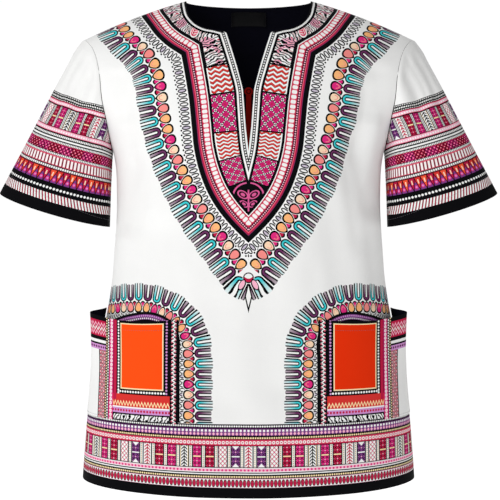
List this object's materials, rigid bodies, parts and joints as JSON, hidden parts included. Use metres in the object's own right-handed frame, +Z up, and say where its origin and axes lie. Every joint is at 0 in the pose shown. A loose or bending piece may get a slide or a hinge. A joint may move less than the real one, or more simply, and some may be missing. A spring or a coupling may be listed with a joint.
{
  "type": "dashiki shirt",
  "caption": "Short-sleeved cotton pullover with a round neck, a chest slit and patch pockets, filled out as it is worn.",
  "frame": {"origin": "midway between the two points where the neck edge meets the shoulder seams, at their height", "axes": "+Z up, the front faces -Y, +X towards the wearer's left sleeve"},
  "size_m": [0.766, 0.2594, 0.7411],
  "materials": {
    "white_print_cotton": "plain-woven cotton, white, with a printed neck panel, fringe and hem border",
    "border_print_cotton": "plain-woven cotton, white above a printed border of crimson, pink and black bands",
    "pocket_print_cotton": "plain-woven cotton with an orange field in printed frames",
    "woven_label": "plain black satin-woven label with nothing on it"
  },
  "bodies": {
    "root": {"front": "white_print_cotton", "back": "white_print_cotton", "sleeve_left": "border_print_cotton", "sleeve_right": "border_print_cotton", "pocket_left": "pocket_print_cotton", "pocket_right": "pocket_print_cotton", "neck_label": "woven_label"}
  },
  "joints": []
}
